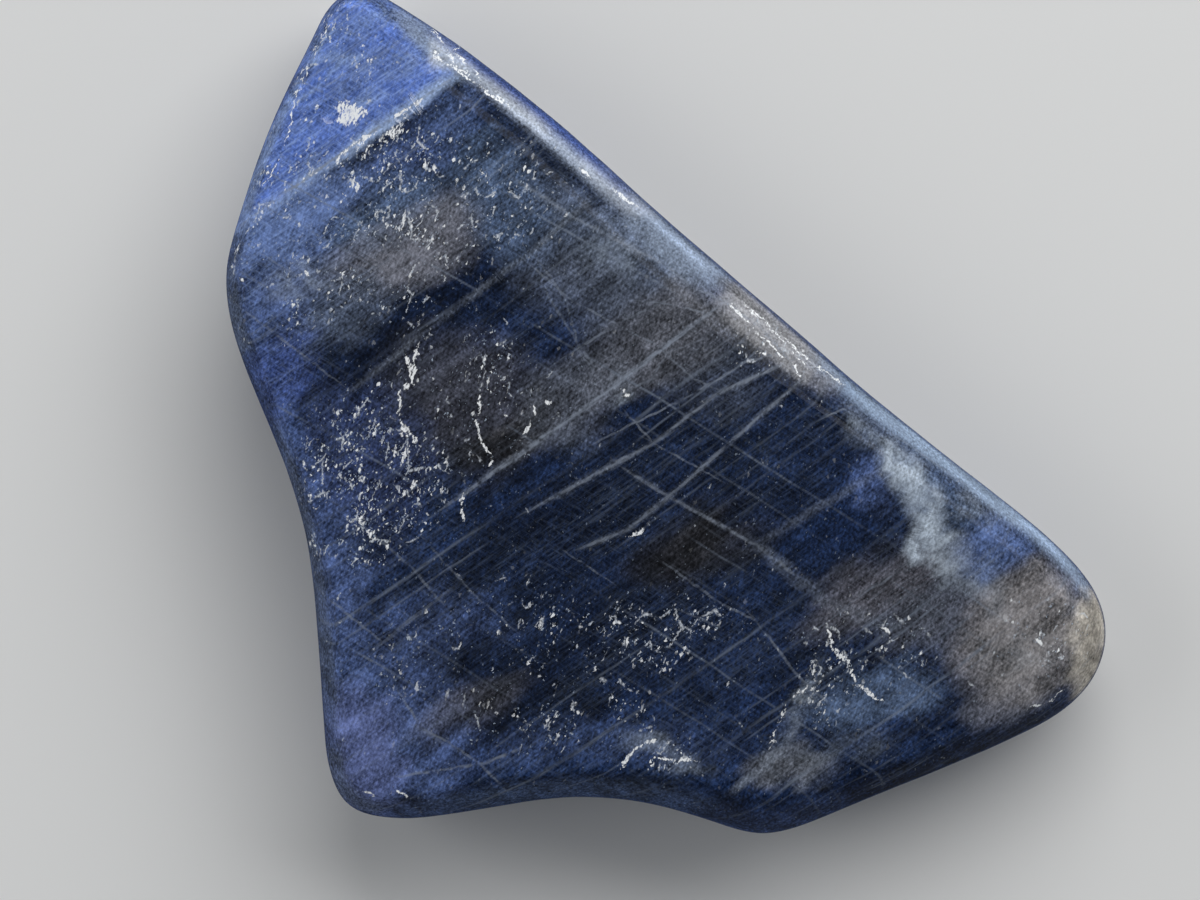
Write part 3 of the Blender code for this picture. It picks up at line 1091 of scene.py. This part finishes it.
# %% Two families of growth lines
GROWTH_COLOUR = (0.185, 0.220, 0.285)
def growth_lines(turn, tilt, gap, half_width, seed):
    """Lines along a direction: how far across it a point lies, split into random cells with a thin line
    at each cell's middle, as strong as the cell's own random number."""
    slope = (-math.sin(turn), math.cos(turn), tilt)
    across = swayed.vector("DOT_PRODUCT", Vector_001=slope) + seed * SEED_STEP
    settings = {"voronoi_dimensions": "1D"}
    cells = across.node("ShaderNodeTexVoronoi", settings, {"W": across, "Scale": 1 / gap}, "Distance")
    strength = cells.node("ShaderNodeSeparateXYZ", {}, {"Vector": cells.also("Color")}, "X")
    return cells.soft(half_width / gap, 0.0) * (strength * strength)


fade = carried("line_fade")
lines = growth_lines(SILK_TURN, 0.35, 1.1, 0.15, 1) * fade * 0.65
lines = lines.most(growth_lines(SILK_TURN, 0.35, 3.1, 0.24, 2) * (0.15 + fade * 0.7))
lines = lines.most(growth_lines(CROSS_TURN, -0.3, 1.9, 0.16, 3) * (0.1 + carried("cross_fade") * 0.85))
fibre = main_silk.soft(0.3, 0.6)
tone = lay(tone, GROWTH_COLOUR, lines * (0.25 + fibre * 0.6) * front)
print("growth lines laid in two directions")

# %% [markdown]
# ## Hairline veins
#
# Thin healed cracks are narrower than the mesh can carry, so the finish draws them. A vector carries
# three numbers, so three legs of a crack are worked out at a time. Each row is a width in pixels, a
# strength and the line.

# %% The hairlines
HAIRLINES = (
    (3, 0.4, ((526, 261), (571, 300), (622, 328), (653, 343), (694, 379), (717, 389))),
    (3.6, 0.35, ((548, 296), (576, 340), (597, 370))),
    (3, 0.45, ((628, 415), (653, 443), (712, 476))),
    (3, 0.5, ((860, 402), (826, 417))),
    (3, 0.3, ((730, 338), (700, 361))),
    (3, 0.3, ((379, 51), (284, 107))),
    (3.6, 0.5, ((246, 312), (328, 374))),
    (2.5, 0.3, ((241, 241), (310, 284))),
    (3.6, 0.4, ((363, 526), (412, 567), (440, 600))),
    (3.6, 0.4, ((315, 588), (379, 639))),
    (3, 0.3, ((424, 539), (473, 593), (514, 629))),
    (3, 0.5, ((569, 554), (607, 579))),
    (3.6, 0.45, ((666, 564), (719, 602), (755, 620), (798, 676), (834, 709))),
    (3, 0.3, ((679, 610), (735, 633))),
    (3.6, 0.3, ((847, 602), (934, 554))),
    (3.6, 0.45, ((400, 694), (422, 728), (450, 743), (479, 763), (504, 789))),
    (4.5, 0.55, ((402, 776), (443, 770), (484, 763), (517, 750))),
    (3.6, 0.3, ((374, 651), (435, 602))),
    (3, 0.3, ((379, 644), (445, 593))),
    (4.5, 0.8, ((250, 216), (440, 84))),
    (3, 0.45, ((640, 301), (671, 305), (709, 314))),
    (3, 0.5, ((600, 440), (690, 396), (745, 362), (790, 350))),
    (3, 0.4, ((560, 360), (620, 322), (668, 300))),
    (3, 0.4, ((612, 398), (650, 380), (668, 352), (700, 340))),
    (3, 0.4, ((540, 262), (566, 300), (580, 352), (612, 398))),
)


def ellipses(place, marks):
    """Soft ellipses, three at a time: each is its strength in the middle, less by the squared distance,
    and below 0 outside."""
    across = place.vector("DOT_PRODUCT", Vector_001=(1.0, 0.0, 0.0))
    up = place.vector("DOT_PRODUCT", Vector_001=(0.0, 1.0, 0.0))
    spare = ((0, 0), (1, 1), 0.0, 0.0)
    for first in range(0, len(marks), 3):
        trio = (*marks[first:first + 3], spare, spare)[:3]
        centre = np.array([on_sheet(pixel) for pixel, _, _, _ in trio])
        reach = np.array([(pixels(size[0]), pixels(size[1])) for _, size, _, _ in trio])
        turn = np.array([turn for _, _, turn, _ in trio])
        strength = np.array([strength for _, _, _, strength in trio])
        along = np.stack([np.cos(turn), np.sin(turn)], axis=1) / reach[:, :1]
        aside = np.stack([-np.sin(turn), np.cos(turn)], axis=1) / reach[:, 1:]
        squares = []
        for way in (along, aside):
            start = up.vector("MULTIPLY_ADD", Vector_001=way[:, 1], Vector_002=-(way * centre).sum(axis=1))
            squares.append(across.vector("MULTIPLY_ADD", Vector_001=way[:, 0], Vector_002=start))
        apart = squares[0].vector("MULTIPLY", Vector_001=squares[0])
        apart = squares[1].vector("MULTIPLY_ADD", Vector_001=squares[1], Vector_002=apart)
        yield apart.vector("MULTIPLY_ADD", Vector_001=-strength, Vector_002=strength)


def strongest(place, marks):
    """The strongest of many ellipses at each place, and 0 outside them all."""
    trios = ellipses(place, marks)
    best = functools.reduce(lambda best, trio: best.vector("MAXIMUM", Vector_001=trio), trios)
    first, second, third = [best.vector("DOT_PRODUCT", Vector_001=axis) for axis in np.eye(3)]
    return first.most(second).most(third).most(0.0)


broken = cloud(sheet, (0.9, 0.7, 1.0), CROSS_TURN, seed=63, detail=2.0)
# The thin cores of the bold lines, the painted crease highlight among them.
thin_lines = [(*hair, line) for _, hair, line in BOLD_CRACKS_AND_HIGHLIGHT]
hair_legs = all_legs([*HAIRLINES, *thin_lines])
hairlines = strongest(bent(sheet, (1.2, 0.7, 1.2), 0.35, SILK_TURN, seed=30), hair_legs)
tone = lay(tone, VEIN, hairlines * (broken - 0.3).soft(0.0, 0.25) * (0.4 + fibre * 0.8) * front)
print("legs of hairlines:", len(hair_legs))

# %% [markdown]
# ## Flecks
#
# White flecks are tiny open cleavages that catch the light. Nearly all are drawn out in the third
# direction of the silk. The sheet is cut into stretched cells, and a cell shows its fleck only if its
# random number and the local crowding together are large enough.

# %% Dust, chips and slivers
DUST_COLOUR = (0.42, 0.50, 0.62)
CRACK_COLOUR = (0.6, 0.64, 0.70)
SLIVER_TURN = math.radians(80)


def flecks(place, size, turn, crowd, seed):
    """One fleck to a stretched cell: a blob whose radius is random, shown where the cell's number and the
    crowd add up to more than 1."""
    cell = turned(place, (seed * SEED_STEP, 0.0, 0.0), turn, size)
    settings = {"voronoi_dimensions": "2D", "feature": "F1", "distance": "MANHATTAN"}
    near = cell.node("ShaderNodeTexVoronoi", settings, {"Vector": cell, "Scale": 1.0}, "Distance")
    chance = near.also("Color")
    luck = chance.node("ShaderNodeSeparateXYZ", {}, {"Vector": chance}, "X")
    girth = luck.also("Y")
    blob = (0.14 + girth * girth * 0.28 - near).soft(0.0, 0.12)
    return blob * (luck + crowd).soft(1.0, 1.3)


crowding = carried("crowd")
crowding = crowding * (broken - 0.36).soft(0.0, 0.28, 1.3)
jagged = bent(sheet, (0.30, 0.30, 0.30), 0.4, seed=51, detail=2.0)
flakes = cloud(sheet, (0.36, 0.17, 0.4), THIRD_TURN, seed=61, detail=3.0, rough=0.65)
glitter = flakes.soft(0.3, 0.62)
dust = flecks(jagged, (0.30, 0.19, 1.0), THIRD_TURN, 0.15 + crowding * 0.9, 1)
chips = flecks(jagged, (0.70, 0.38, 1.0), THIRD_TURN, 0.07 + crowding * 1.0, 2)
slivers = flecks(jagged, (2.2, 0.40, 1.0), SLIVER_TURN, crowding * 0.6, 3)
cell = turned(jagged, (0.0, 0.0, 0.0), THIRD_TURN, (3.2, 1.3, 1.0))
settings = {"voronoi_dimensions": "2D", "feature": "DISTANCE_TO_EDGE"}
to_edge = cell.node("ShaderNodeTexVoronoi", settings, {"Vector": cell, "Scale": 1.0}, "Distance")
cracks = to_edge.soft(0.06, 0.0) * (crowding * 0.45 + broken - 0.66).soft(0.0, 0.12)
tone = lay(tone, DUST_COLOUR, dust * 0.75 * front)
tone = lay(tone, FROST, chips.most(slivers) * (0.4 + glitter * 0.8) * front)
tone = lay(tone, CRACK_COLOUR, cracks * glitter * front)
print("three sizes of fleck, and cracks")

# %% [markdown]
# ## The open flaws, in white
#
# Where a flaw is open, its broken walls are white. The finish draws the white along the lines that the
# bowls follow, the mesh adds the star and the crumbs, and a fine cloud breaks the white into flakes.
# Along the edges run a few more white cracks, too thin to be bowls. On the long edge some of them, and two
# of the flaws, are painted highlights as well: glints of the window, drawn in white.

# %% White in the flaws
pit_depth = carried("pit")
# White lines along the edges: cracks, and on the long edge painted glints as well.
EDGE_LINES = (
    (3.4, 1.0, ((732, 304), (755, 330), (790, 361), (802, 375))),
    (3.4, 0.95, ((744, 300), (782, 335), (813, 362), (848, 384))),
    (3.0, 0.88, ((762, 318), (790, 346), (812, 372))),
    (3.4, 0.9, ((428, 20), (444, 42), (456, 66))),
    (3.2, 0.85, ((331, 13), (314, 50), (297, 86), (281, 152), (262, 188))),
    (3.4, 0.9, ((462, 34), (450, 48), (470, 62), (480, 76))),
    (4.4, 1.0, ((446, 62), (478, 82), (512, 108))),
    (3.4, 0.9, ((1030, 712), (1052, 704), (1074, 692))),
)
SOLID_WIDTH = 9.5  # pixels: a wider flaw is white in flakes only
FLAW_GAIN = 1.25
FLAKE_GAIN = 2.3
WHITE_FROM = 1.98
open_flaws = [(width, min(1.0, SOLID_WIDTH / width), line) for width, _, line in FLAWS]
flaw_and_glint_legs = all_legs([*open_flaws, *EDGE_LINES])
cracked = bent(sheet, (1.4, 1.0, 1.2), 0.9, seed=60)
cracked = bent(cracked, (0.35, 0.30, 0.35), 0.4, seed=64)
near_flaw_and_glint = strongest(cracked, flaw_and_glint_legs).most(carried("crumbs")) * FLAW_GAIN
white = (near_flaw_and_glint + flakes * FLAKE_GAIN - WHITE_FROM).soft(0.0, 0.35)
above_edge = carried("out").soft(1.02, 0.95)
tone = lay(tone, FROST, white * (0.45 + glitter * 0.7) * above_edge)
print("legs of white flaws:", len(flaw_and_glint_legs))

# %% [markdown]
# ## Polish
#
# The polish is a clear gloss. Sapphire bends light strongly, so its gloss is brighter than glass. The
# coat stays smooth while the ground below it is slightly rough, and the gloss breaks in the pits. On the
# shoulder the coat is thin, or it would mirror the pale floor and look grey from above.

# %% Gloss over a silky ground
SAPPHIRE_IOR = 1.77
BUMP_HEIGHT = 0.02 * MM
GROUND_GLOSS = 0.0
SHOULDER_COAT = 0.07
COAT_ROUGHNESS = 0.03
GROUND_ROUGHNESS = 0.22
GRAIN_ROUGHNESS = 0.16
PIT_ROUGHNESS = 0.3
GRAIN_RELIEF = 0.5
PIT_RELIEF = 8.0
PIT_COAT_LOSS = 0.9
open_pit = pit_depth.soft(0.0, 0.08)
outward = carried("out")
off_shoulder = outward.soft(-0.01, -0.08).most(outward.soft(1.0, 1.25))
coat = off_shoulder * (1 - SHOULDER_COAT) + SHOULDER_COAT
roughness = GROUND_ROUGHNESS + grain * GRAIN_ROUGHNESS + open_pit * PIT_ROUGHNESS
relief = grain * GRAIN_RELIEF + pit_depth * flakes * PIT_RELIEF
bump = relief.node("ShaderNodeBump", {}, {"Height": relief, "Distance": BUMP_HEIGHT, "Strength": 1.0})
links = material.node_tree.links
links.new(tone.socket, shader.inputs["Base Color"])
links.new(roughness.socket, shader.inputs["Roughness"])
links.new(bump.socket, shader.inputs["Normal"])
links.new((coat * (1 - open_pit * PIT_COAT_LOSS)).socket, shader.inputs["Coat Weight"])
shader.inputs["Specular IOR Level"].default_value = GROUND_GLOSS
shader.inputs["IOR"].default_value = SAPPHIRE_IOR
shader.inputs["Coat IOR"].default_value = SAPPHIRE_IOR
shader.inputs["Coat Roughness"].default_value = COAT_ROUGHNESS
print("nodes in the finish:", len(material.node_tree.nodes))

# %% [markdown]
# ## The table
#
# A plain pale floor, wide enough to fill the view from any side.

# %% A pale floor
FLOOR_HALF = 1.5
FLOOR_DROP = 0.05 * MM
PAPER_COLOUR = (0.80, 0.80, 0.79, 1.0)
PAPER_ROUGHNESS = 0.7
floor_mesh = bpy.data.meshes.new("floor")
corners = np.array(((-1, -1), (1, -1), (1, 1), (-1, 1))) * FLOOR_HALF
floor_mesh.from_pydata([(x, y, -FLOOR_DROP) for x, y in corners], [], [(0, 1, 2, 3)])
floor = bpy.data.objects.new("floor", floor_mesh)
bpy.context.scene.collection.objects.link(floor)
paper = bpy.data.materials.new("pale_paper")
paper.use_nodes = True
paper_inputs = paper.node_tree.nodes["Principled BSDF"].inputs
paper_inputs["Base Color"].default_value = PAPER_COLOUR
paper_inputs["Roughness"].default_value = PAPER_ROUGHNESS
floor_mesh.materials.append(paper)
print("floor:", 2 * FLOOR_HALF, "m wide")

# %% [markdown]
# ## Light
#
# The photograph has one soft window beyond the long edge. A large panel there lights the front evenly,
# and a smaller one fills in from the other side. The pale band that such a window gives the long shoulder
# is mostly painted, as the coat is thin there. The sky is dark overhead, where the front would mirror it,
# and brighter near the horizon, where the sides do.

# %% A soft window and a dim sky
HORIZON = (0.42, 0.44, 0.46)
OVERHEAD = (0.030, 0.032, 0.036)


def panel(name, away, height, size, power):
    """A rectangular light at a place off to one side, turned to look at the stone."""
    light = bpy.data.lights.new(name, "AREA")
    light.shape = "RECTANGLE"
    light.size, light.size_y = size
    light.energy = power
    lamp = bpy.data.objects.new(name, light)
    place = np.array((away[0], away[1], height))
    lamp.location = place
    down = math.atan2(math.hypot(*away), height)
    lamp.rotation_euler = (down, 0.0, math.atan2(away[1], away[0]) + math.pi / 2)
    bpy.context.scene.collection.objects.link(lamp)


panel("window", (-0.12, 0.50), 0.50, (0.85, 0.50), 4.4)
panel("fill", (-0.45, -0.30), 0.45, (0.5, 0.4), 1.0)
world = bpy.data.worlds.new("studio")
bpy.context.scene.world = world
world.use_nodes = True
sky = Wire(world.node_tree.nodes.new("ShaderNodeTexCoord").outputs["Generated"])
rise = sky.node("ShaderNodeSeparateXYZ", {}, {"Vector": sky}, "Z")
light_of_sky = lay(HORIZON, OVERHEAD, rise.soft(0.3, 0.9))
world.node_tree.links.new(light_of_sky.socket, world.node_tree.nodes["Background"].inputs["Color"])
bpy.context.scene.view_settings.view_transform = "Standard"
print("lights:", len(bpy.data.lights))

# %% [markdown]
# ## The camera
#
# The camera looks straight down, as the stone lies flat and the photograph shows it from its front. The
# lens follows from the picture's width on the stone and the camera's height.

# %% Straight down
SENSOR = 36.0
camera_data = bpy.data.cameras.new("camera")
camera_data.sensor_width = SENSOR
camera_data.lens = SENSOR * (CAMERA_HEIGHT - RIM_LEVEL) / (PICTURE_WIDTH / PIXELS_PER_MM)
camera = bpy.data.objects.new("camera", camera_data)
camera.location = (VIEW_AT[0] * MM, VIEW_AT[1] * MM, CAMERA_HEIGHT * MM)
camera.rotation_euler = (0.0, 0.0, VIEW_TURN)
bpy.context.scene.collection.objects.link(camera)
bpy.context.scene.camera = camera
print("lens:", round(camera_data.lens, 1), "mm")
